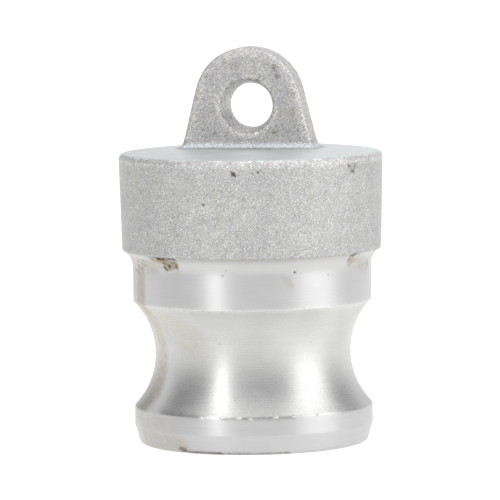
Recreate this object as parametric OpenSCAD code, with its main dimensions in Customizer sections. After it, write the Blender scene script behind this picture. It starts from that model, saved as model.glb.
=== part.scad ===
// Cam and groove dust plug, one hollow aluminium casting with a machined barrel.
// The origin is the centre of the seal face, +Z runs up through the head, and
// the ear stands in the XZ plane with its hole along Y. Millimetres.

/* [Barrel] */
// Diameter of the barrel, the size that slides into the coupler
barrel_d = 45.5; // [44.5:0.1:47]
// Height of the machined barrel, from the seal face to the curve under the head
barrel_h = 33.6; // [32:0.1:37]
// Diameter of the lead-in cone where it meets the seal face
lead_in_d = 43.4; // [42:0.1:44]
// Height of the lead-in cone
lead_in_h = 3.7; // [2.5:0.1:5]
// Radius of the edge between the seal face and the lead-in cone
base_edge_r = 0.9; // [0.3:0.1:1.2]

/* [Cam groove] */
// Diameter at the bottom of the cam groove
groove_d = 37.3; // [36:0.1:39]
// Height of the groove's lower edge above the seal face
groove_low = 7.2; // [6.8:0.1:8]
// Width of the groove where it opens in the barrel
groove_w = 20; // [18:0.1:21]
// Radius of the groove's lower edge
groove_low_edge_r = 0.9; // [0.3:0.1:1.2]
// Radius of the groove's upper edge
groove_high_edge_r = 0.3; // [0.1:0.1:0.6]

/* [Head] */
// Diameter of the head at its rim, before the edge is rounded
head_d = 50.4; // [49.5:0.1:53]
// Height of the head, from the end of the barrel to its rim
head_h = 21.7; // [18:0.1:26]
// Draft of the head's side, in degrees
head_draft = 1.5; // [0.5:0.1:2]
// Radius of the curve that turns the barrel out into the head
under_r = 4; // [3.4:0.1:5]
// Radius of the head's lower edge
head_low_edge_r = 0.5; // [0.2:0.1:0.8]
// Radius of the head's rim
rim_r = 1.1; // [0.5:0.1:2]
// Diameter of the flat middle of the top, from where the top falls to the rim
top_flat_d = 34.6; // [34:0.1:38]
// Height of the flat middle of the top above the rim
top_rise = 0.8; // [0.2:0.1:1]
// Radius of the bend between the flat middle and the fall
top_bend_r = 45; // [20:1:50]

/* [Ear] */
// Radius of the ear's rounded top
ear_r = 10.2; // [9:0.1:11]
// Height of the ear above the flat middle of the top
ear_h = 19.3; // [18.5:0.1:24]
// Thickness of the ear
ear_t = 7.5; // [6:0.1:9]
// Lean of the ear's flanks from upright, in degrees
ear_lean = 14.1; // [8:0.1:17]
// Radius of the ear's edges
ear_edge_r = 1.1; // [0.5:0.1:1.5]
// Radius of the fillet between the ear and the head
ear_fillet_r = 1.5; // [1:0.1:2]

/* [Ear hole] */
// Diameter of the hole at its narrow end, at the back of the ear
hole_d = 8.4; // [7:0.1:9]
// Distance of the hole's centre below the centre of the ear's rounded top
hole_drop = 1; // [0:0.1:1.2]
// Length of the straight end of the hole
hole_land = 2.4; // [2:0.1:3]
// Draft of the rest of the hole, which widens to the front, in degrees
hole_draft = 10; // [3:1:12]
// Radius of the hole's edge at both faces
hole_edge_r = 0.5; // [0.2:0.1:0.6]

/* [Hollow] */
// Wall between the hollow and the bottom of the cam groove
neck_wall = 4.3; // [3:0.1:7]
// Thickness of the metal between the hollow and the flat middle of the top
top_wall = 6; // [4:0.1:12]
// Draft of the hollow, in degrees
hollow_draft = 1.5; // [0.5:0.1:3]
// Radius of the corner at the closed end of the hollow
hollow_end_r = 5; // [2:0.1:8]
// Chamfer at the mouth of the hollow, inside the seal face
mouth_chamfer = 1; // [0.5:0.1:1.5]

/* [Hidden] */
$fn = 128;

// Extra length of a cutter past the face it cuts, and of an added piece inside the metal
past = 1;
// Extra size of each radius, so that it crosses the faces it blends instead of just touching
hair = 0.001;

barrel_r = barrel_d / 2;
lead_in_r = lead_in_d / 2;
lead_in_angle = atan2(lead_in_h, barrel_r - lead_in_r);

groove_r = groove_d / 2;
groove_depth = barrel_r - groove_r;
groove_mid = groove_low + groove_w / 2;
groove_arc_r = (groove_w * groove_w / 4 + groove_depth * groove_depth) / (2 * groove_depth);
groove_centre = [groove_r + groove_arc_r, groove_mid];

head_r = head_d / 2;
head_rim = barrel_h + head_h;
head_top = head_rim + top_rise;
head_slope = tan(head_draft);
top_flat_r = top_flat_d / 2;
top_fall = atan2(top_rise, head_r - top_flat_r);
under_centre = [barrel_r + under_r, barrel_h];

ear_top = head_top + ear_h;
eye_z = ear_top - ear_r;
hole_r = hole_d / 2;
hole_z = eye_z - hole_drop;
hole_back = ear_t / 2 - hole_edge_r;
hole_front_r = hole_r + (hole_back - hole_land + ear_t / 2) * tan(hole_draft);

hollow_top = head_top - top_wall;
hollow_slope = tan(hollow_draft);
mouth_r = groove_r - neck_wall + groove_mid * hollow_slope;

// Unit vector at an angle, and from one point towards another
function heading(angle) = [cos(angle), sin(angle)];
function towards(a, b) = (b - a) / norm(b - a);

// Radius of the head's drafted side at a height
function head_side_r(z) = head_r - (head_rim - z) * head_slope;

// Radius of the hollow's drafted wall at a height
function hollow_r(z) = mouth_r - z * hollow_slope;

// Half the ear's width at a height above the flat middle of the top
function ear_half_w(above) = ear_r / cos(ear_lean) + (eye_z - head_top - above) * tan(ear_lean);

// Height of the centre of a groove edge's radius, below (-1) or above (1) the groove
function groove_edge_z(r, side) =
    groove_mid + side * sqrt(pow(groove_arc_r + r, 2) - pow(groove_centre.x - barrel_r + r, 2));

// Height of the centre of the head's lower edge radius, which touches the drafted side
// and the curve under the head
function head_low_edge_z(r) =
    let (
        k = head_slope,
        gap = head_side_r(0) - r / cos(head_draft) - under_centre.x,
        a = 1 + k * k,
        b = k * gap - under_centre.y,
        c = gap * gap + pow(under_centre.y, 2) - pow(under_r + r, 2)
    )
    (-b + sqrt(b * b - a * c)) / a;

// What comes off a corner to leave a radius: the corner, the two points where the
// radius starts and ends, and the radius's centre
module shaving(corner, from, to, centre, r) {
    difference() {
        polygon([corner + towards(centre, corner) * past, from, centre, to]);
        translate(centre) circle(r = r + hair);
    }
}

// The same for two straight edges that leave the corner at angles a and b
module straight_shaving(corner, a, b, r) {
    half = abs(a - b) / 2;
    reach = r / tan(half);
    centre = corner + heading((a + b) / 2) * r / sin(half);
    shaving(corner, corner + heading(a) * reach, corner + heading(b) * reach, centre, r);
}

// The same for an edge of the cam groove
module groove_shaving(r, side) {
    corner = [barrel_r, groove_mid + side * groove_w / 2];
    centre = [barrel_r - r, groove_edge_z(r, side)];
    shaving(corner, [barrel_r, centre.y], centre + towards(centre, groove_centre) * r, centre, r);
}

// The same for the head's lower edge
module head_low_shaving(r) {
    z = head_low_edge_z(r);
    centre = [head_side_r(z) - r / cos(head_draft), z];
    on_side = centre + heading(-head_draft) * r;
    on_curve = centre + towards(centre, under_centre) * r;
    corner = centre + towards(centre, (on_side + on_curve) / 2) * r * 2;
    shaving(corner, on_side, on_curve, centre, r);
}

// Half section of the outside, from the seal face to the top
module outside_section() {
    difference() {
        polygon([
            [0, 0],
            [lead_in_r, 0],
            [barrel_r, lead_in_h],
            [barrel_r, barrel_h],
            [head_side_r(barrel_h), barrel_h],
            [head_r, head_rim],
            [top_flat_r, head_top],
            [0, head_top]
        ]);
        translate(groove_centre) circle(r = groove_arc_r);
        translate(under_centre) circle(r = under_r + hair);
        straight_shaving([lead_in_r, 0], lead_in_angle, 180, base_edge_r);
        groove_shaving(groove_low_edge_r, -1);
        groove_shaving(groove_high_edge_r, 1);
        head_low_shaving(head_low_edge_r);
        straight_shaving([head_r, head_rim], 180 - top_fall, 270 - head_draft, rim_r);
        straight_shaving([top_flat_r, head_top], 180, 360 - top_fall, top_bend_r);
    }
}

// Half section of the hollow, which the casting's core leaves
module hollow_section() {
    inner = [hollow_r(mouth_chamfer), mouth_chamfer];
    end = [hollow_r(hollow_top), hollow_top];
    difference() {
        polygon([[0, -past], inner + [1, -1] * (mouth_chamfer + past), inner, end, [0, hollow_top]]);
        straight_shaving(end, 180, 270 + hollow_draft, hollow_end_r);
    }
}

// Section through the ear, from a distance inside the eye's centre out to the round edge
module ear_section(inside) {
    difference() {
        translate([-inside, -ear_t / 2]) square([ear_r + inside, ear_t]);
        straight_shaving([ear_r, ear_t / 2], 180, 270, ear_edge_r);
        straight_shaving([ear_r, -ear_t / 2], 90, 180, ear_edge_r);
    }
}

// The ear in two halves, each a turn round the eye and a leaning flank that reaches past
// the middle
module ear_plate() {
    top_lap = 5;
    drop = (eye_z - head_top + past) / cos(ear_lean) + ear_r * tan(ear_lean);
    translate([0, 0, eye_z]) rotate([90, 0, 0])
        for (side = [0, 1]) mirror([side, 0, 0]) rotate([0, 0, ear_lean]) {
            rotate_extrude(angle = 90 - ear_lean + top_lap) ear_section(0);
            rotate([90, 0, 0]) linear_extrude(height = drop)
                ear_section(drop * tan(ear_lean) + past);
        }
}

// Section of a fillet in the corner between an upright face and the top
module fillet_section() {
    difference() {
        translate([-past, -past]) square(past + ear_fillet_r);
        translate([ear_fillet_r, ear_fillet_r]) circle(r = ear_fillet_r + hair);
    }
}

// The fillet round the ear's foot, in four quarters: a turn at the corner and a run
// from it along each side to the middle
module ear_foot() {
    corner_x = ear_half_w(ear_fillet_r) - ear_edge_r / cos(ear_lean);
    corner_y = ear_t / 2 - ear_edge_r;
    translate([0, 0, head_top]) for (across = [0, 1], along = [0, 1])
        mirror([across, 0, 0]) mirror([0, along, 0]) translate([corner_x, corner_y, 0]) {
            rotate_extrude(angle = 90) translate([ear_edge_r, 0]) fillet_section();
            rotate([90, 0, 0]) linear_extrude(height = corner_y + past)
                translate([ear_edge_r, 0]) fillet_section();
            rotate([90, 0, 270]) mirror([1, 0, 0]) linear_extrude(height = corner_x + past)
                translate([ear_edge_r, 0]) fillet_section();
        }
}

// The hole through the ear, straight at the back and widening to the front
module ear_hole() {
    face = ear_t / 2;
    translate([0, 0, hole_z]) rotate([90, 0, 0]) rotate_extrude() {
        polygon([
            [0, -face - past],
            [hole_r, -face - past],
            [hole_r, -hole_back + hole_land],
            [hole_front_r, face],
            [hole_front_r, face + past],
            [0, face + past]
        ]);
        straight_shaving([hole_front_r, face], 0, -90 - hole_draft, hole_edge_r);
        straight_shaving([hole_r, -face], 0, 90, hole_edge_r);
    }
}

// The whole casting
module dust_plug() {
    color([0.80, 0.80, 0.80]) difference() {
        union() {
            rotate_extrude() outside_section();
            ear_plate();
            ear_foot();
        }
        rotate_extrude() hollow_section();
        ear_hole();
    }
}

dust_plug();
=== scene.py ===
import math

import bmesh
import bpy
from mathutils import Matrix, Quaternion, Vector, kdtree, noise


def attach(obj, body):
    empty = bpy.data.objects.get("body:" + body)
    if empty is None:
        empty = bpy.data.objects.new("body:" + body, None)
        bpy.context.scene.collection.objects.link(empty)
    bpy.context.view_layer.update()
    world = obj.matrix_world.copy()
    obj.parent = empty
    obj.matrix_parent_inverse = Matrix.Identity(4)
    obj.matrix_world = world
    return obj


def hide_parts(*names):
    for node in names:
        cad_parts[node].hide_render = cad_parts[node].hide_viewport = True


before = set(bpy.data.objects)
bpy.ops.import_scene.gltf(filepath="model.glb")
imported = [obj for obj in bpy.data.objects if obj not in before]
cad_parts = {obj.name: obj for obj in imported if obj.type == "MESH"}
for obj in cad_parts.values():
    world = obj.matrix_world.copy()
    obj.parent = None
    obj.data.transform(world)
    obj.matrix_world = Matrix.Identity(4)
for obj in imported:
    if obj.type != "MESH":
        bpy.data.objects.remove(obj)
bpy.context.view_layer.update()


# ---- The body of the casting
# Head, barrel, rim and hollow are one aluminium casting, poured round a core that leaves it
# open below. The barrel, the cam groove, the seal face and the top are turned afterwards,
# and the head keeps the rough skin of the mould. Lengths are in millimetres until the end.
barrel_r, barrel_h = 22.75, 33.6
lead_in_r, lead_in_h, base_edge_r = 21.7, 3.7, 0.9
groove_r, groove_mid, groove_half = 18.65, 17.2, 10.0
groove_high_edge_r, groove_low_edge_r = 0.3, 0.9
under_r, lip_r = 4.0, 0.5
head_r, head_rim, head_top, rim_r = 25.2, 55.3, 56.1, 1.1
draft = math.radians(1.5)
top_flat_r, top_bend_r = 17.3, 45
mouth_r, mouth_chamfer = 14.774, 1
hollow_top, hollow_top_r, hollow_end_r = 50.1, 13.488, 5


def run(bm, pen, x, z, pitch=0.6):
    """Draws a straight run of the half section, in steps of about the pitch."""
    start, end = pen.co.copy(), Vector((x, 0, z))
    steps = max(1, round((end - start).length / pitch))
    for i in range(steps):
        pen = bmesh.ops.extrude_vert_indiv(bm, verts=[pen])["verts"][0]
        pen.co = start.lerp(end, (i + 1) / steps)
    return pen


def turn(bm, pen, x, z, angle, steps):
    """Draws an arc of the half section about a point, anticlockwise for a positive angle."""
    out = bmesh.ops.spin(bm, geom=[pen], cent=(x, 0, z), axis=(0, -1, 0), angle=angle, steps=steps)
    return next(g for g in out["geom_last"] if isinstance(g, bmesh.types.BMVert))


def run_round(bm, pen, corner, after, radius, steps, pitch=0.6):
    """Draws a run towards a corner and the radius that leads from it into the next run."""
    corner, after = Vector(corner), Vector(after)
    back = (Vector((pen.co.x, pen.co.z)) - corner).normalized()
    on = (after - corner).normalized()
    half = back.angle(on) / 2
    centre = corner + (back + on).normalized() * radius / math.sin(half)
    start = corner + back * radius / math.tan(half)
    pen = run(bm, pen, start.x, start.y, pitch)
    bend = math.copysign(math.pi - 2 * half, back.x * on.y * -1 + back.y * on.x)
    return turn(bm, pen, centre.x, centre.y, bend, steps)


def side_x(z):
    """How far the head's drafted side is from the axis at a height."""
    return head_r - (head_rim - z) * math.tan(draft)


body = bmesh.new()
pen = body.verts.new((0, 0, head_top))
pen = run_round(body, pen, (top_flat_r, head_top), (head_r, head_rim), top_bend_r, 6)
pen = run_round(body, pen, (head_r, head_rim), (side_x(barrel_h), barrel_h), rim_r, 8)

# The small radius under the head, and the curve that brings the head in to the barrel. The
# height at which the two touch is found by closing in on it.
under = Vector((barrel_r + under_r, barrel_h))
lip_z = barrel_h + under_r
for _ in range(20):
    lip = Vector((side_x(lip_z) - lip_r / math.cos(draft), lip_z))
    lip_z += (under_r + lip_r - (lip - under).length) * 1.1
lean = math.atan2(lip.y - under.y, under.x - lip.x)
pen = run(body, pen, lip.x + lip_r * math.cos(draft), lip.y - lip_r * math.sin(draft))
pen = turn(body, pen, lip.x, lip.y, draft - lean, 6)
pen = turn(body, pen, under.x, under.y, lean, 14)

# The cam groove, one arc with a rounded edge above and below it. The coupler's cam noses seat
# in it, and the upper edge is left sharper than the lower one.
deep = barrel_r - groove_r
arc_r = (groove_half ** 2 + deep ** 2) / (2 * deep)
arc_x = groove_r + arc_r


def groove_edge(radius):
    """Height from the groove's middle to the centre of its edge radius, and the slope there."""
    across = arc_x - barrel_r + radius
    up = math.sqrt((arc_r + radius) ** 2 - across ** 2)
    return up, math.atan2(up, across)


up, slope = groove_edge(groove_high_edge_r)
low, low_slope = groove_edge(groove_low_edge_r)
pen = run(body, pen, barrel_r, groove_mid + up)
pen = turn(body, pen, barrel_r - groove_high_edge_r, groove_mid + up, -slope, 4)
pen = turn(body, pen, arc_x, groove_mid, slope + low_slope, 48)
pen = turn(body, pen, barrel_r - groove_low_edge_r, groove_mid - low, -low_slope, 6)

# The lead-in, the seal face, the chamfered mouth and the hollow, then the whole turn
pen = run_round(body, pen, (barrel_r, lead_in_h), (lead_in_r, 0), 0.4, 2)
pen = run_round(body, pen, (lead_in_r, 0), (mouth_r, 0), base_edge_r, 6)
pen = run(body, pen, mouth_r + mouth_chamfer, 0)
pen = run(body, pen, mouth_r, mouth_chamfer)
pen = run_round(body, pen, (hollow_top_r, hollow_top), (0, hollow_top), hollow_end_r, 8,
                pitch=3.0)
pen = run(body, pen, 0, hollow_top, pitch=3.0)
bmesh.ops.spin(body, geom=body.verts[:] + body.edges[:], cent=(0, 0, 0), axis=(0, 0, 1),
               angle=math.tau, steps=360, use_merge=True)
bmesh.ops.remove_doubles(body, verts=body.verts, dist=1e-4)
bmesh.ops.recalc_face_normals(body, faces=body.faces)


# ---- The ear
# A flat lug to hang the plug by, cast in one with the head: a round top, flanks that lean
# outwards, round edges, and a cored hole that widens to the front. It keeps the mould's skin,
# and its foot starts inside the head.
eye_z, ear_r, ear_t, ear_lean = 65.2, 10.2, 7.5, math.radians(14.1)
ear_edge_r = 1.1
hole_z, hole_r, hole_front_r, taper_y = 64.2, 4.2, 5.011, 0.85
foot_z, foot_r = 54.6, 1.5

ear = bmesh.new()
foot_x = ear_r / math.cos(ear_lean) + (eye_z - foot_z) * math.tan(ear_lean)
touch = Vector((ear_r * math.cos(ear_lean), 0, eye_z + ear_r * math.sin(ear_lean)))
pen = ear.verts.new((foot_x, 0, foot_z))
pen = run(ear, pen, touch.x, touch.z)
pen = turn(ear, pen, 0, eye_z, math.pi - 2 * ear_lean, 60)
pen = run(ear, pen, -foot_x, foot_z)
pen = run(ear, pen, foot_x, foot_z)
bmesh.ops.remove_doubles(ear, verts=ear.verts, dist=1e-4)


def verts_in(geometry):
    """The vertices among what an operator gave back."""
    return [g for g in geometry if isinstance(g, bmesh.types.BMVert)]


# Spokes lead from the outline in to the hole's circle, and the flat ring is given its thickness
hole_centre = Vector((0, 0, hole_z))
for v in verts_in(bmesh.ops.extrude_edge_only(ear, edges=ear.edges)["geom"]):
    v.co = hole_centre + (v.co - hole_centre).normalized() * hole_r
bmesh.ops.translate(ear, verts=ear.verts, vec=(0, -ear_t / 2, 0))
grown = verts_in(bmesh.ops.extrude_face_region(ear, geom=ear.faces)["geom"])
bmesh.ops.translate(ear, verts=grown, vec=(0, ear_t, 0))
bmesh.ops.recalc_face_normals(ear, faces=ear.faces)


def from_hole(v):
    """Distance of a point from the axis of the ear's hole."""
    return math.hypot(v.co.x, v.co.z - hole_z)


# The hole is straight at the back, and a taper opens it to the front
wall = [f for f in ear.faces if all(from_hole(v) < hole_r + 0.1 for v in f.verts)]
wall_edges = dict.fromkeys(e for f in wall for e in f.edges)
wall_verts = dict.fromkeys(v for f in wall for v in f.verts)
bmesh.ops.bisect_plane(ear, geom=[*wall, *wall_edges, *wall_verts],
                       plane_co=(0, taper_y, 0), plane_no=(0, 1, 0))
bmesh.ops.scale(ear, verts=[v for v in ear.verts if v.co.y < -3 and from_hole(v) < hole_r + 0.1],
                vec=(hole_front_r / hole_r, 1, hole_front_r / hole_r),
                space=Matrix.Translation(-hole_centre))
for front_side, soft in ((True, 0.9), (False, 0.45)):
    mouth = [e for e in ear.edges if e.calc_face_angle(0) > 1 and from_hole(e.verts[0]) < 6
             and (e.verts[0].co.y < 0) == front_side]
    bmesh.ops.bevel(ear, geom=mouth, offset=soft, segments=6, profile=0.5, affect="EDGES",
                    material=-1, loop_slide=True)


def runs_across(e, least):
    """Whether an edge of the ear goes from front to back by more than this."""
    return abs(e.verts[0].co.y - e.verts[1].co.y) > least


rims = [e for e in ear.edges if e.calc_face_angle(0) > 1 and from_hole(e.verts[0]) > 6
        and max(v.co.z for v in e.verts) > foot_z + 0.01 and not runs_across(e, 1)]
bmesh.ops.bevel(ear, geom=rims, offset=ear_edge_r, segments=6, profile=0.5, affect="EDGES",
                material=-1, loop_slide=True)

# Both flat faces and the edge are divided finely enough to carry the skin's waves
spokes = [e for e in ear.edges if abs(abs(e.verts[0].co.y) - ear_t / 2) < 1e-4
          and not runs_across(e, 1e-4)
          and abs(from_hole(e.verts[0]) - from_hole(e.verts[1])) > 2]
bmesh.ops.subdivide_edges(ear, edges=spokes, cuts=10, use_grid_fill=True)
across = [e for e in ear.edges if runs_across(e, 3)]
bmesh.ops.subdivide_edges(ear, edges=across, cuts=9, use_grid_fill=True)

# The fillet round the foot swells out of the ear's faces as it nears the top of the head
for h in (1.5, 1.3, 1.1, 0.9, 0.7, 0.5, 0.35, 0.22, 0.12, 0.05, 0.01):
    bmesh.ops.bisect_plane(ear, geom=ear.verts[:] + ear.edges[:] + ear.faces[:],
                           plane_co=(0, 0, head_top + h), plane_no=(0, 0, 1))
ear.normal_update()
for v in ear.verts:
    h = max(v.co.z - head_top - 0.01, 0)
    out = Vector((v.normal.x, v.normal.y, 0))
    if h < foot_r and out.length > 0.5:
        v.co += out.normalized() * (foot_r - math.sqrt(foot_r ** 2 - (foot_r - h) ** 2))


# ---- Both are one piece of metal, so their meshes are joined into one closed skin
def as_object(bm, name):
    """Puts a finished bmesh into the scene as an object."""
    mesh = bpy.data.meshes.new(name)
    bm.to_mesh(mesh)
    obj = bpy.data.objects.new(name, mesh)
    bpy.context.scene.collection.objects.link(obj)
    return obj


plug = as_object(body, "casting")
lug = as_object(ear, "lug")
join = plug.modifiers.new("join", "BOOLEAN")
join.operation, join.solver, join.object = "UNION", "MANIFOLD", lug
joined = bpy.data.meshes.new_from_object(plug.evaluated_get(bpy.context.evaluated_depsgraph_get()))
plug.modifiers.clear()
plug.data = joined
bpy.data.objects.remove(lug)

casting = bmesh.new()
casting.from_mesh(joined)
bmesh.ops.remove_doubles(casting, verts=casting.verts, dist=1e-4)
uncut, dirt_and_shade, stain_and_shade, painted_highlight = (casting.verts.layers.float.new(name)
                            for name in ("uncut", "dirt_and_shade", "stain_and_shade", "painted_highlight"))


def reach(z):
    """Radius of the turned or cast outside at a height."""
    if z > lip.y:
        return side_x(z)
    if z > barrel_h:
        return under.x - math.sqrt(under_r ** 2 - (z - barrel_h) ** 2)
    if groove_mid - low < z < groove_mid + up:
        return arc_x - math.sqrt(arc_r ** 2 - (z - groove_mid) ** 2)
    return min(barrel_r, lead_in_r + z * (barrel_r - lead_in_r) / lead_in_h)


def place(angle, z):
    """The point on the outside at an angle in degrees and a height."""
    a = math.radians(angle)
    return Vector((reach(z) * math.cos(a), reach(z) * math.sin(a), z))


# Sand pits in the skin and small blow holes in the turned metal: angle, height, radius, depth
PITS = [
    # Along the head's upper rim
    (-87.2, 52.9, 0.42, 0.42), (-86.3, 52.6, 0.30, 0.26), (-88.0, 53.3, 0.22, 0.16),
    (-76.6, 53.2, 0.32, 0.26), (-78.8, 53.0, 0.22, 0.16), (-75.4, 53.6, 0.20, 0.14),
    (-74.2, 53.0, 0.18, 0.12), (-66.0, 53.5, 0.16, 0.10), (-30.1, 52.6, 0.34, 0.30),
    (-32.6, 53.6, 0.30, 0.20), (-28.6, 53.5, 0.26, 0.18),
    # On the head's side
    (-100.6, 47.2, 0.28, 0.22), (-99.2, 49.1, 0.22, 0.12), (4.0, 40.8, 0.26, 0.18),
    (35.0, 49.0, 0.32, 0.24), (64.0, 45.5, 0.42, 0.32), (131.0, 50.4, 0.36, 0.26),
    (170.0, 42.2, 0.30, 0.22), (-160.0, 44.0, 0.30, 0.22),
    # On the barrel
    (-59.2, 34.2, 0.26, 0.24), (-61.7, 33.2, 0.14, 0.10), (-93.6, 33.8, 0.19, 0.07),
    (-91.8, 34.8, 0.14, 0.12), (-40.8, 33.3, 0.22, 0.12), (20.0, 32.6, 0.16, 0.14),
    (101.0, 31.2, 0.18, 0.16), (-172.0, 33.0, 0.16, 0.12),
    # In the groove and below it
    (-58.9, 20.6, 0.17, 0.14), (-44.7, 20.4, 0.15, 0.12), (-99.1, 20.6, 0.16, 0.12),
    (-113.8, 20.0, 0.13, 0.10), (-59.5, 15.4, 0.14, 0.12), (-19.8, 11.4, 0.17, 0.16),
    (-89.0, 10.4, 0.13, 0.12), (-50.3, 5.3, 0.15, 0.12), (88.0, 19.4, 0.16, 0.14),
    (142.0, 14.2, 0.15, 0.12), (55.0, 5.6, 0.16, 0.12),
]

# Marks on the skin, each from one (angle, height) to another: width, strength and layer
MARKS = [
    # Under the head on the left, a scrap of skin that the tool left, and the dirt in it
    (-133.0, 36.7, -126.0, 36.75, 0.30, 0.35, dirt_and_shade),
    (-126.0, 36.72, -116.8, 36.72, 0.46, 0.95, dirt_and_shade),
    (-130.0, 36.3, -124.5, 36.2, 0.70, 0.30, dirt_and_shade), (-116.4, 36.3, -116.9, 35.1, 0.42, 0.55, dirt_and_shade),
    (-120.7, 35.4, -121.4, 35.2, 0.42, 0.80, dirt_and_shade), (-124.6, 35.1, -123.4, 34.4, 0.36, 0.60, dirt_and_shade),
    (-123.6, 35.9, -122.4, 36.0, 0.36, 0.40, dirt_and_shade), (-118.4, 35.9, -118.0, 35.4, 0.30, 0.40, dirt_and_shade),
    (-148.0, 35.6, -140.0, 34.9, 0.30, 0.35, dirt_and_shade), (-151.0, 34.6, -143.0, 34.2, 0.36, 0.35, dirt_and_shade),
    (-144.0, 36.0, -138.5, 35.5, 0.30, 0.25, dirt_and_shade), (-156.0, 33.9, -149.0, 33.4, 0.30, 0.25, dirt_and_shade),
    (-131.5, 36.2, -124.0, 36.1, 0.9, 0.90, stain_and_shade), (-128.0, 36.5, -117.5, 35.7, 0.9, 1.00, stain_and_shade),
    (-152.0, 35.4, -133.0, 35.0, 1.5, 0.75, stain_and_shade), (-129.0, 35.5, -118.0, 34.7, 1.0, 0.55, stain_and_shade),
    (-126.8, 36.5, -117.6, 36.0, 0.42, 1.0, uncut), (-123.5, 35.7, -117.8, 35.7, 0.85, 1.0, uncut),
    (-123.6, 35.0, -120.0, 35.2, 0.75, 1.0, uncut),
    # The same on the right, smaller and paler
    (-29.4, 36.75, -26.4, 36.8, 0.40, 0.80, dirt_and_shade), (-26.4, 36.8, -23.4, 36.75, 0.30, 0.35, dirt_and_shade),
    (-29.0, 36.5, -28.0, 35.5, 0.34, 0.45, dirt_and_shade), (-17.0, 34.4, -13.0, 34.6, 0.5, 0.18, dirt_and_shade),
    (-8.4, 34.6, -5.6, 34.1, 0.6, 0.25, dirt_and_shade), (-28.4, 36.5, -27.0, 35.2, 0.9, 1.10, stain_and_shade),
    (-26.8, 36.6, -25.6, 35.8, 0.8, 0.80, stain_and_shade), (-22.0, 35.4, -9.0, 34.4, 1.5, 0.50, stain_and_shade),
    (-28.0, 36.3, -26.6, 35.6, 0.7, 0.47, uncut), (-25.0, 35.6, -18.0, 35.4, 0.9, 0.40, uncut),
    # Round the pits at the right end of the head's rim
    (-33.0, 53.9, -28.0, 53.9, 0.40, 0.35, dirt_and_shade), (-31.8, 52.2, -31.4, 53.8, 0.30, 0.40, dirt_and_shade),
    (-29.4, 52.0, -29.0, 53.4, 0.35, 0.35, dirt_and_shade),
    # Handling stains down the left side, faint ones elsewhere, and a painted contact shadow along
    # the foot at the lower left
    (-172.0, 40.0, -170.0, 52.0, 2.6, 0.35, stain_and_shade), (-148.0, 26.5, -148.0, 33.0, 2.2, 1.4, stain_and_shade),
    (-158.0, 27.0, -156.0, 33.5, 3.6, 0.70, stain_and_shade), (-147.0, 10.0, -147.0, 25.0, 2.6, 0.8, stain_and_shade),
    (-160.0, 12.0, -158.0, 25.0, 4.0, 0.40, stain_and_shade), (-150.0, 8.0, -147.0, 10.0, 2.0, 0.8, stain_and_shade),
    (-158.0, 7.6, -146.0, 7.4, 0.8, 0.80, stain_and_shade), (-160.0, 6.4, -150.0, 6.2, 1.3, 0.5, stain_and_shade),
    # The second mark on the next line is a painted contact shadow along the foot
    (-150.0, 5.4, -130.0, 5.4, 1.4, 0.30, stain_and_shade), (-146.0, 2.0, -118.0, 1.4, 2.0, 0.55, stain_and_shade),
    (-140.0, 25.0, -118.0, 21.0, 3.4, 0.40, stain_and_shade), (-116.0, 36.7, -30.0, 36.7, 0.5, 0.35, stain_and_shade),
    (-62.9, 32.8, -61.6, 31.7, 0.8, 0.38, stain_and_shade),
    # A painted dark reflection along the rim's upper edge, and a painted contact shadow along the
    # foot, in the nick and on both sides of it
    (-93.0, 6.95, -60.5, 6.95, 0.42, 0.35, dirt_and_shade), (-130.0, 7.6, -108.0, 7.3, 0.6, 0.22, dirt_and_shade),
    (-119.0, 0.75, -115.0, 0.35, 0.45, 0.7, dirt_and_shade), (-118.0, 0.2, -96.0, 0.2, 0.45, 0.9, dirt_and_shade),
    (-97.0, 0.2, -62.0, 0.2, 0.4, 0.5, dirt_and_shade),
    # Beads of burr on the rim's upper edge, each with a painted glint
    (-105.2, 7.1, -104.2, 7.1, 0.26, 1.9, painted_highlight), (-103.0, 7.1, -102.4, 7.1, 0.22, 1.9, painted_highlight),
    (-95.4, 7.1, -93.6, 7.2, 0.26, 1.9, painted_highlight), (-88.4, 6.9, -86.2, 7.2, 0.26, 1.9, painted_highlight),
    (-81.4, 7.0, -80.6, 7.0, 0.28, 1.9, painted_highlight), (-69.8, 7.2, -69.0, 7.2, 0.26, 1.9, painted_highlight),
    (-60.6, 7.2, -60.0, 7.2, 0.24, 1.9, painted_highlight), (-48.0, 7.2, -47.4, 7.2, 0.24, 1.6, painted_highlight),
    # At the back
    (86.0, 36.2, 104.0, 36.0, 0.7, 1.0, uncut), (90.0, 35.6, 100.0, 35.5, 0.5, 1.0, uncut),
    (84.0, 36.8, 102.0, 36.6, 0.3, 0.5, dirt_and_shade), (24.0, 34.4, 33.0, 35.0, 0.6, 0.3, dirt_and_shade),
    (88.0, 35.8, 103.0, 35.7, 0.9, 0.8, stain_and_shade), (150.0, 6.6, 166.0, 7.2, 0.8, 0.5, stain_and_shade),
]

# Dark flecks on the front of the ear: x, height, radius and strength
FLECKS = [
    (-1.7, 72.1, 0.45, 0.30), (-1.3, 69.8, 0.40, 0.35), (5.4, 71.7, 0.40, 0.50),
    (6.0, 69.8, 0.40, 0.40), (8.8, 66.7, 0.50, 0.25), (-7.9, 69.8, 0.30, 0.40),
    (-9.5, 65.8, 0.30, 0.30), (8.4, 63.1, 0.60, 0.20), (1.9, 69.0, 0.35, 0.60),
    (0.4, 69.1, 0.30, 0.40), (-6.3, 59.0, 0.40, 0.25), (5.3, 59.2, 0.40, 0.40),
    (-2.7, 68.5, 0.40, 0.35), (-3.8, 67.3, 0.35, 0.40), (-4.3, 62.6, 0.40, 0.70),
    (-4.4, 72.8, 0.40, 0.30),
]

# A nick in the edge of the seal face, where the metal is pushed in
nick, nick_r, nick_depth = Vector((-10.0, -19.5, 0.5)), 1.2, 0.40


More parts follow.
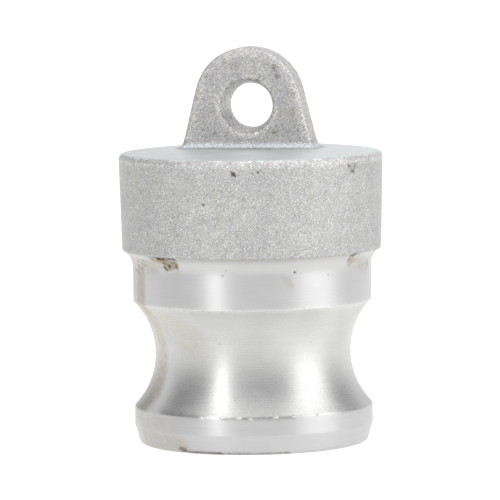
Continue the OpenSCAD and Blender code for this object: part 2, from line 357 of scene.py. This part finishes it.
def tree_of(bm):
    """The vertices ready to be searched by place."""
    bm.verts.ensure_lookup_table()
    tree = kdtree.KDTree(len(bm.verts))
    for i, v in enumerate(bm.verts):
        tree.insert(v.co, i)
    tree.balance()
    return tree


def steps_of(a0, z0, a1, z1):
    """Points along a mark, a third of a millimetre apart."""
    count = max(1, round((place(a1, z1) - place(a0, z0)).length / 0.33))
    return [place(a0 + (a1 - a0) * i / count, z0 + (z1 - z0) * i / count)
            for i in range(count + 1)]


# Round the pits, the fine marks and the nick the mesh is divided more finely
spots = [(place(a, z), radius * 1.7) for a, z, radius, _ in PITS] + [(nick, nick_r + 0.4)]
spots += [(at, width + 0.25) for a0, z0, a1, z1, width, _, _ in MARKS if width < 0.5
          for at in steps_of(a0, z0, a1, z1)]
spots += [(Vector((x, -ear_t / 2, z)), radius * 2) for x, z, radius, _ in FLECKS]
tree = tree_of(casting)
near = dict.fromkeys(e for at, far in spots for _, i, _ in tree.find_range(at, far)
                     for e in casting.verts[i].link_edges)
bmesh.ops.subdivide_edges(casting, edges=list(near), cuts=2, use_grid_fill=True)

# The pits are sunk and darkened towards their middles, and what lies on the metal is noted at each
# vertex
tree = tree_of(casting)
for angle, z, radius, depth in PITS:
    spot = place(angle, z)
    inward = Vector((-spot.x, -spot.y, 0)).normalized()
    for _, i, far in tree.find_range(spot, radius * 1.6):
        v = casting.verts[i]
        d = far / radius * (1 + 0.25 * noise.noise(v.co * 4))
        v[dirt_and_shade] = max(v[dirt_and_shade], min(0.9, (1.5 - 1.4 * d) * (0.55 + radius)))
        v.co += inward * depth * ((1 - d * d) ** 0.7 if d < 1 else 0)
for a0, z0, a1, z1, width, strength, layer in MARKS:
    for at in steps_of(a0, z0, a1, z1):
        for _, i, far in tree.find_range(at, width * 1.3):
            v = casting.verts[i]
            blotch = 1 if layer == uncut else 0.75 + 0.6 * noise.noise(v.co * 1.7)
            v[layer] = max(v[layer], strength * blotch * min(1, 2.0 - 1.6 * far / width))
for x, z, radius, strength in FLECKS:
    for _, i, far in tree.find_range((x, -ear_t / 2, z), radius * 2.2):
        v = casting.verts[i]
        ragged = 1 + 1.6 * noise.noise(v.co * 2.6)
        v[dirt_and_shade] = max(v[dirt_and_shade], strength * ragged * (1.0 - far / radius / 2.2))
inward = Vector((0.40, 0.72, 0.35))
for _, i, far in tree.find_range(nick, nick_r):
    casting.verts[i].co += inward * nick_depth * (1 - (far / nick_r) ** 2) ** 1.5


def from_edge(v):
    """How far in from its outline a point of the ear lies."""
    x, z = abs(v.co.x), v.co.z - eye_z
    if math.atan2(z, x) > ear_lean:
        return ear_r - math.hypot(x, z)
    return ear_r - x * math.cos(ear_lean) - z * math.sin(ear_lean)


def band(value, low, high, soft):
    """1 between two values and falling to 0 outside them over a soft width."""
    return max(0.0, min(1.0, (value - low) / soft + 0.5, (high - value) / soft + 0.5))


# The skin's waves on the ear, in the hollow and on the head's side, painted highlights along the
# ear's edges, on its hole's bore and mouth, along the head's upper rim and along the groove's
# upper edge, the burr beads, and the places under the head where the skin still stands proud
inside_r, side_from = 15.8, 38
groove_high = groove_mid + up
casting.normal_update()
for v in casting.verts:
    r = math.hypot(v.co.x, v.co.y)
    wave = noise.noise(v.co * 0.35) * 0.5 + noise.noise(v.co * 0.9) * 0.35
    if v.co.z > head_top + 0.1:
        if v.co.z > head_top + foot_r:
            # A painted highlight along the ear's rounded edges, and painted light on its hole's
            # bore and mouth
            v[painted_highlight] = max(band(from_edge(v), -2, 1.6, 0.9) * 0.6, band(from_hole(v), 0, 5.7, 0.9))
        v.co += v.normal * (wave - 0.7) * 0.06
    elif r < inside_r and 0.9 < v.co.z < hollow_top + 0.1:
        v.co += v.normal * wave * 0.10
    elif v.co.z > side_from and r > 24 and v.normal.z < 0.8:
        # A painted highlight along the rounded upper rim of the head
        v[painted_highlight] = band(v.co.z, head_rim - 1.3, head_top, 0.8) * 0.6
        v.co += v.normal * (wave - 0.7) * 0.05
    elif v.co.z < groove_high + 1:
        # A painted highlight along the groove's upper edge, and the burr beads, painted to glint,
        # raised a little
        v[painted_highlight] = max(v[painted_highlight], band(v.co.z, groove_high - 0.7, groove_high + 0.3, 0.5) * 0.25)
        v.co += v.normal * 0.24 * max(0, v[painted_highlight] - 0.4)
    elif v[uncut] > 0:
        v.co += v.normal * 0.12 * min(1, v[uncut] * 1.5) * (1 + wave)

# The fillet ends on the faced top in a crisp line
for e in casting.edges:
    if e.calc_face_angle(0) > 0.6 and all(abs(v.co.z - head_top) < 0.02 for v in e.verts):
        e.smooth = False
bmesh.ops.scale(casting, verts=casting.verts, vec=(0.001, 0.001, 0.001))
casting.to_mesh(plug.data)
plug.data.materials.clear()
for f in plug.data.polygons:
    f.use_smooth = True
plug.modifiers.new("even_normals", "WEIGHTED_NORMAL").keep_sharp = True


def shader(name, **values):
    """A new material with its Principled shader's plain values set."""
    m = bpy.data.materials.new(name)
    m.use_nodes = True
    p = m.node_tree.nodes["Principled BSDF"]
    for socket, value in values.items():
        p.inputs[socket.replace("_", " ")].default_value = value
    return m, p


def add(m, kind, **values):
    """Adds a node: its own settings go by name, and its inputs by name with spaces as _."""
    n = m.node_tree.nodes.new("ShaderNode" + kind)
    for key, value in values.items():
        if hasattr(n, key):
            setattr(n, key, value)
        else:
            n.inputs[key.replace("_", " ")].default_value = value
    return n


def wire(m, out, into):
    """Links one node's output to another's input."""
    m.node_tree.links.new(out, into)


def object_place(m):
    """The place on the object, in metres."""
    return add(m, "TexCoord").outputs["Object"]


def ramp(m, factor, *stops):
    """A colour ramp from stops of (place, (r, g, b))."""
    n = add(m, "ValToRGB")
    while len(n.color_ramp.elements) < len(stops):
        n.color_ramp.elements.new(0.5)
    for e, (at, colour) in zip(n.color_ramp.elements, stops):
        e.position, e.color = at, (*colour, 1)
    wire(m, factor, n.inputs["Fac"])
    return n.outputs["Color"]


def grain(m, size, stretch=(1, 1, 1), detail=3.0, roughness=0.6):
    """Noise whose grains are about this size in metres, stretched along the object's axes."""
    fit = add(m, "Mapping")
    fit.inputs["Scale"].default_value = stretch
    wire(m, object_place(m), fit.inputs["Vector"])
    n = add(m, "TexNoise", Scale=1 / size, Detail=detail, Roughness=roughness)
    wire(m, fit.outputs["Vector"], n.inputs["Vector"])
    return n.outputs["Fac"]


def blend(m, mode, factor, a, b):
    """Two colours mixed; the factor is a number or another node's output."""
    n = add(m, "Mix", data_type="RGBA", blend_type=mode)
    for value, socket in ((factor, n.inputs[0]), (a, n.inputs[6]), (b, n.inputs[7])):
        if isinstance(value, bpy.types.NodeSocket):
            wire(m, value, socket)
        else:
            socket.default_value = value
    return n.outputs[2]


def relief(m, p, height, depth, below=None):
    """Turns a height into a bump of this depth in metres, on top of another one."""
    n = add(m, "Bump", Distance=depth)
    wire(m, height, n.inputs["Height"])
    if below:
        wire(m, below, n.inputs["Normal"])
    wire(m, n.outputs["Normal"], p.inputs["Normal"])
    return n.outputs["Normal"]


def marked(m, colour):
    """The colour with painted highlights, stains, dirt and painted shade over it."""
    highlit, dirt_and_shade_fac, stain_and_shade_fac = (add(m, "Attribute", attribute_name=name).outputs["Fac"]
                              for name in ("painted_highlight", "dirt_and_shade", "stain_and_shade"))
    flecked = ramp(m, grain(m, 0.0007, detail=2), (0.36, (0.2,) * 3), (0.52, (1,) * 3))
    # Painted highlights and glints, broken up by fine flecks, brighten the colour
    highlit = blend(m, "MULTIPLY", 1.0, highlit, flecked)
    colour = blend(m, "MULTIPLY", highlit, colour, (1.45, 1.45, 1.43, 1))
    # Stains and a painted contact shadow tint it tan
    colour = blend(m, "MULTIPLY", stain_and_shade_fac, colour, (0.78, 0.72, 0.61, 1))
    # Dirt and painted shade darken it
    return blend(m, "MULTIPLY", dirt_and_shade_fac, colour, (0.20, 0.165, 0.13, 1))


def skin_colour(m, fine, broad):
    """The mould's skin: light grey metal with dark hollows, bright grains and faint specks."""
    colour = ramp(m, fine, (0.32, (0.30, 0.30, 0.30)), (0.44, (0.51, 0.513, 0.51)),
                  (0.57, (0.61, 0.614, 0.61)), (0.68, (0.97, 0.985, 0.97)))
    clouds = ramp(m, broad, (0.3, (0.91, 0.905, 0.915)), (0.7, (1.0, 1.0, 0.99)))
    specks = ramp(m, grain(m, 0.0005, detail=2), (0.36, (0.95, 0.935, 0.97)), (0.5, (1, 1, 1)),
                  (0.64, (1.0, 0.99, 0.95)))
    mottle = ramp(m, grain(m, 0.0016, detail=2), (0.34, (0.93, 0.925, 0.925)), (0.5, (1, 1, 1)),
                  (0.66, (1.03,) * 3))
    for layer in (clouds, specks, mottle):
        colour = blend(m, "MULTIPLY", 1.0, colour, layer)
    return colour


def height_in(m):
    """The height above the seal face, in metres."""
    split = add(m, "SeparateXYZ")
    wire(m, object_place(m), split.inputs[0])
    return split.outputs["Z"]


# The rough skin of the mould on the head's side and on the ear. A painted shade line runs along
# the bottom of the ear's fillet with a painted bluish highlight on the fillet above it, and the
# ear's own grains are the coarser ones.
cast_skin, p = shader("cast_skin", Metallic=1.0, Roughness=0.50)
fine = grain(cast_skin, 0.00023, detail=3, roughness=0.7)
skin = skin_colour(cast_skin, fine, grain(cast_skin, 0.005))
foot = add(cast_skin, "MapRange", From_Min=0.0560, From_Max=0.0580)
wire(cast_skin, height_in(cast_skin), foot.inputs["Value"])
# Painted shade at the bottom of the ear's fillet, a painted bluish highlight on the fillet above
# it, and the ear a little darker higher up
foot_shade_and_highlight = ramp(cast_skin, foot.outputs["Result"], (0.02, (0.95, 0.945, 0.94)),
               (0.10, (0.86, 0.88, 0.91)), (0.22, (1.10, 1.16, 1.20)), (0.35, (1.25, 1.33, 1.38)),
               (0.6, (1.05, 1.07, 1.10)), (0.8, (0.90, 0.89, 0.895)))
skin = blend(cast_skin, "MULTIPLY", 1.0, skin, foot_shade_and_highlight)
coarse = ramp(cast_skin, grain(cast_skin, 0.00045, detail=3, roughness=0.7),
              (0.34, (0.74, 0.73, 0.75)), (0.5, (1, 1, 1)), (0.64, (1.15, 1.14, 1.08)))
skin = blend(cast_skin, "MULTIPLY", foot.outputs["Result"], skin, coarse)
wire(cast_skin, marked(cast_skin, skin), p.inputs["Base Color"])
relief(cast_skin, p, fine, 0.00011)


def turned(name, tint, rough):
    """Turned aluminium, whose tool marks run round the axis and draw a highlight out along it."""
    m, p = shader(name, Metallic=1.0, Roughness=rough, Anisotropic=0.65, Anisotropic_Rotation=0.25)
    lines = grain(m, 0.0003, stretch=(0.02, 0.02, 1), detail=4, roughness=0.7)
    patches = grain(m, 0.008, detail=3)
    colour = blend(m, "MULTIPLY", 1.0, ramp(m, lines, (0.3, (0.95,) * 3), (0.7, (1.0,) * 3)),
                   ramp(m, patches, (0.3, [t * 0.95 for t in tint]), (0.7, tint)))
    along = add(m, "VectorMath", operation="CROSS_PRODUCT")
    along.inputs[1].default_value = (0, 0, 1)
    wire(m, object_place(m), along.inputs[0])
    wire(m, along.outputs[0], p.inputs["Tangent"])
    return m, p, colour, relief(m, p, lines, 0.000006)


turned_barrel, p, colour, _ = turned("turned_barrel", (0.60, 0.60, 0.595), 0.43)
wire(turned_barrel, marked(turned_barrel, colour), p.inputs["Base Color"])

# The groove's feed marks show as fine even rings in places, and low down its metal is torn
turned_groove, p, colour, normal = turned("turned_groove", (0.66, 0.66, 0.642), 0.43)
rings = add(turned_groove, "TexWave", wave_type="BANDS", bands_direction="Z",
            Scale=785.0, Distortion=0.6)
wire(turned_groove, object_place(turned_groove), rings.inputs["Vector"])
shown = ramp(turned_groove, grain(turned_groove, 0.012, detail=1),
             (0.40, (0, 0, 0)), (0.60, (1, 1, 1)))
rings_here = blend(turned_groove, "MULTIPLY", 1.0, rings.outputs["Color"], shown)
relief(turned_groove, p, rings_here, 0.000012, normal)
colour = blend(turned_groove, "MULTIPLY", 1.0, colour,
               ramp(turned_groove, rings_here, (0.0, (1, 1, 1)), (1.0, (0.90, 0.90, 0.90))))
torn = ramp(turned_groove, grain(turned_groove, 0.00035, detail=2), (0.36, (0.90, 0.905, 0.92)),
            (0.54, (1.0,) * 3), (0.68, (1.03,) * 3))
lower = add(turned_groove, "MapRange", From_Min=0.012, From_Max=0.019, To_Min=1.0, To_Max=0.35)
wire(turned_groove, height_in(turned_groove), lower.inputs["Value"])
colour = blend(turned_groove, "MULTIPLY", lower.outputs["Result"], colour, torn)
wire(turned_groove, marked(turned_groove, colour), p.inputs["Base Color"])

# Under the head the turned curve grows paler, and runs out into skin that the tool didn't reach
turned_curve, p, colour, _ = turned("turned_curve", (0.635, 0.635, 0.62), 0.44)
rise = add(turned_curve, "MapRange", From_Min=barrel_h / 1000, From_Max=barrel_h / 1000 + 0.0022)
wire(turned_curve, height_in(turned_curve), rise.inputs["Value"])
paler = ramp(turned_curve, rise.outputs["Result"], (0.0, (0.945, 0.945, 0.96)), (1.0, (1, 1, 1)))
colour = blend(turned_curve, "MULTIPLY", 1.0, colour, paler)
left_over = add(turned_curve, "Attribute", attribute_name="uncut")
edge_noise = add(turned_curve, "Math", operation="MULTIPLY_ADD")
wire(turned_curve, grain(turned_curve, 0.0008), edge_noise.inputs[0])
edge_noise.inputs[1].default_value, edge_noise.inputs[2].default_value = 0.6, -0.3
ragged = add(turned_curve, "Math", operation="ADD")
wire(turned_curve, left_over.outputs["Fac"], ragged.inputs[0])
wire(turned_curve, edge_noise.outputs[0], ragged.inputs[1])
here = ramp(turned_curve, ragged.outputs[0], (0.35, (0, 0, 0)), (0.60, (1, 1, 1)))
fine = grain(turned_curve, 0.00024, detail=3, roughness=0.7)
tan = blend(turned_curve, "MULTIPLY", 1.0,
            skin_colour(turned_curve, fine, grain(turned_curve, 0.005)), (0.84, 0.80, 0.68, 1))
colour = blend(turned_curve, "MIX", here, colour, tan)
wire(turned_curve, marked(turned_curve, colour), p.inputs["Base Color"])

# The faced top has rings about the axis that are almost too fine to see
faced_top, p = shader("faced_top", Metallic=1.0, Roughness=0.52)
flat = add(faced_top, "Mapping")
flat.inputs["Scale"].default_value = (1, 1, 0)
wire(faced_top, object_place(faced_top), flat.inputs["Vector"])
out_from = add(faced_top, "VectorMath", operation="LENGTH")
wire(faced_top, flat.outputs["Vector"], out_from.inputs[0])
spread = add(faced_top, "Math", operation="MULTIPLY")
spread.inputs[1].default_value = 2500.0
wire(faced_top, out_from.outputs["Value"], spread.inputs[0])
ring = add(faced_top, "TexNoise", noise_dimensions="1D", Scale=1.0, Detail=3.0, Roughness=0.7)
wire(faced_top, spread.outputs[0], ring.inputs["W"])
ringed = ramp(faced_top, ring.outputs["Fac"], (0.3, (0.65, 0.68, 0.68)),
              (0.7, (0.77, 0.795, 0.78)))
clouds = ramp(faced_top, grain(faced_top, 0.004), (0.3, (0.94,) * 3), (0.7, (1.0,) * 3))
colour = blend(faced_top, "MULTIPLY", 1.0, ringed, clouds)
wire(faced_top, marked(faced_top, colour), p.inputs["Base Color"])
relief(faced_top, p, ring.outputs["Fac"], 0.000006)

# Inside, the core's skin is duller and coarser
core_skin, p = shader("core_skin", Metallic=0.9, Roughness=0.62)
fine = grain(core_skin, 0.0005, detail=3)
skin = skin_colour(core_skin, fine, grain(core_skin, 0.007))
wire(core_skin, blend(core_skin, "MULTIPLY", 1.0, skin, (0.80, 0.79, 0.78, 1)),
     p.inputs["Base Color"])
relief(core_skin, p, fine, 0.00018)

SKIN, BARREL, GROOVE, CURVE, TOP, CORE = range(6)
for m in (cast_skin, turned_barrel, turned_groove, turned_curve, faced_top, core_skin):
    plug.data.materials.append(m)


def finish_at(f):
    """Which finish a face has, from where it lies."""
    x, y, z = f.center * 1000
    r = math.hypot(x, y)
    if z > head_top + 0.05:
        return SKIN
    if r < inside_r and 0.01 < z < hollow_top + 0.05:
        return CORE
    if f.normal.z > 0.75 and z > head_rim - 1:
        return TOP
    if z > lip.y - 0.45:
        return SKIN
    if z > barrel_h:
        return CURVE
    if groove_mid - low < z < groove_high:
        return GROOVE
    return BARREL


for f in plug.data.polygons:
    f.material_index = finish_at(f)
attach(plug, "root")
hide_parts("dust_plug")


# ---- The floor
# A wide white sheet that the plug stands on, far enough round to fill the view.
floor_mesh = bmesh.new()
bmesh.ops.create_circle(floor_mesh, cap_ends=True, segments=96, radius=12)
floor = as_object(floor_mesh, "floor")

# The camera and the reflections see the sheet glow, so it comes out white and keeps the shadow
white, p = shader("white_sheet", Base_Color=(0.35, 0.35, 0.35, 1), Roughness=0.9)
glow = add(white, "Emission", Color=(1, 1, 1, 1), Strength=0.82)
seen = add(white, "LightPath")
either = add(white, "Math", operation="MAXIMUM")
wire(white, seen.outputs["Is Glossy Ray"], either.inputs[0])
wire(white, seen.outputs["Is Transmission Ray"], either.inputs[1])
any_of = add(white, "Math", operation="MAXIMUM")
wire(white, seen.outputs["Is Camera Ray"], any_of.inputs[0])
wire(white, either.outputs[0], any_of.inputs[1])
dark = add(white, "Emission", Strength=0.0)
lit = add(white, "MixShader")
both = add(white, "AddShader")
for out, into in ((any_of.outputs[0], lit.inputs[0]), (dark.outputs[0], lit.inputs[1]),
                  (glow.outputs[0], lit.inputs[2]), (p.outputs[0], both.inputs[0]),
                  (lit.outputs[0], both.inputs[1]),
                  (both.outputs[0], white.node_tree.nodes["Material Output"].inputs["Surface"])):
    wire(white, out, into)
floor.data.materials.append(white)


# ---- The light
# A pale room, darkest half way up its walls and to the left and light again overhead, with a
# tall broad soft box to the right, a tall narrow one to the left, and two weak wide ones behind.
room = bpy.data.worlds.new("room")
room.use_nodes = True
nodes, links = room.node_tree.nodes, room.node_tree.links
toward = nodes.new("ShaderNodeTexCoord")
height = nodes.new("ShaderNodeSeparateXYZ")
shade = nodes.new("ShaderNodeValToRGB")
while len(shade.color_ramp.elements) < 5:
    shade.color_ramp.elements.new(0.5)
for stop, (at, level) in zip(shade.color_ramp.elements,
                             ((0.10, 1.0), (0.30, 0.40), (0.52, 0.18), (0.74, 0.50), (0.92, 1.6))):
    stop.position, stop.color = at, (level, level, level * (1.08 if level < 0.6 else 1), 1)
links.new(toward.outputs["Generated"], height.inputs[0])
links.new(height.outputs["Z"], shade.inputs["Fac"])
links.new(shade.outputs["Color"], nodes["Background"].inputs["Color"])
side = nodes.new("ShaderNodeMapRange")
for socket, value in (("From Min", -0.8), ("From Max", -0.1), ("To Min", 0.68), ("To Max", 1.0)):
    side.inputs[socket].default_value = value
links.new(height.outputs["X"], side.inputs["Value"])
links.new(side.outputs["Result"], nodes["Background"].inputs["Strength"])
bpy.context.scene.world = room


aim = Vector((0, 0, 0.035))


def soft_box(name, angle, rise, lean, width, height, power):
    """A rectangular lamp that faces the plug from 1.2 m, turned by a lean about its own middle."""
    lamp = bpy.data.lights.new(name, "AREA")
    lamp.shape, lamp.size, lamp.size_y, lamp.energy = "RECTANGLE", width, height, power
    obj = bpy.data.objects.new(name, lamp)
    a, e = math.radians(angle), math.radians(rise)
    out = Vector((math.cos(a) * math.cos(e), math.sin(a) * math.cos(e), math.sin(e)))
    obj.location = aim + out * 1.2
    facing = out.to_track_quat("Z", "Y")
    obj.rotation_euler = (facing @ Quaternion((0, 0, 1), math.radians(lean))).to_euler()
    obj.visible_camera = False
    bpy.context.scene.collection.objects.link(obj)


soft_box("right_box", -8.5, 25.5, -21, 0.85, 1.9, 8.5)
soft_box("left_strip", -119.4, 31, 11, 0.07, 1.9, 5.2)
soft_box("left_back_box", 151, 26.5, -30, 1.1, 0.34, 1.18)
soft_box("back_box", 84, 30, 0, 1.0, 0.7, 1.55)


# ---- The camera
# It stands almost level in front of the ear, a little to the right, with a long lens.
azimuth, elevation, roll = (math.radians(degrees) for degrees in (10.38, 5.2, -0.764))
away, focal_px, picture_px = 0.85, 4454.8, 500
back = Vector((math.sin(azimuth) * math.cos(elevation),
               -math.cos(azimuth) * math.cos(elevation), math.sin(elevation)))
right = Vector((math.cos(azimuth), math.sin(azimuth), 0))
above = back.cross(right)
tilted = right * math.cos(roll) + above * math.sin(roll)
upright = above * math.cos(roll) - right * math.sin(roll)
lens = bpy.data.cameras.new("camera")
lens.sensor_width, lens.lens = 36, 36 * focal_px / picture_px
lens.shift_x, lens.shift_y = -1.82 / picture_px, 2.39 / picture_px
lens.clip_start, lens.clip_end = 0.05, 50
camera = bpy.data.objects.new("camera", lens)
camera.matrix_world = Matrix.Translation(Vector((0, 0, 0.0361)) + back * away) @ Matrix(
    (tilted, upright, back)).transposed().to_4x4()
bpy.context.scene.collection.objects.link(camera)
bpy.context.scene.camera = camera

bpy.context.scene.view_settings.view_transform = "Standard"
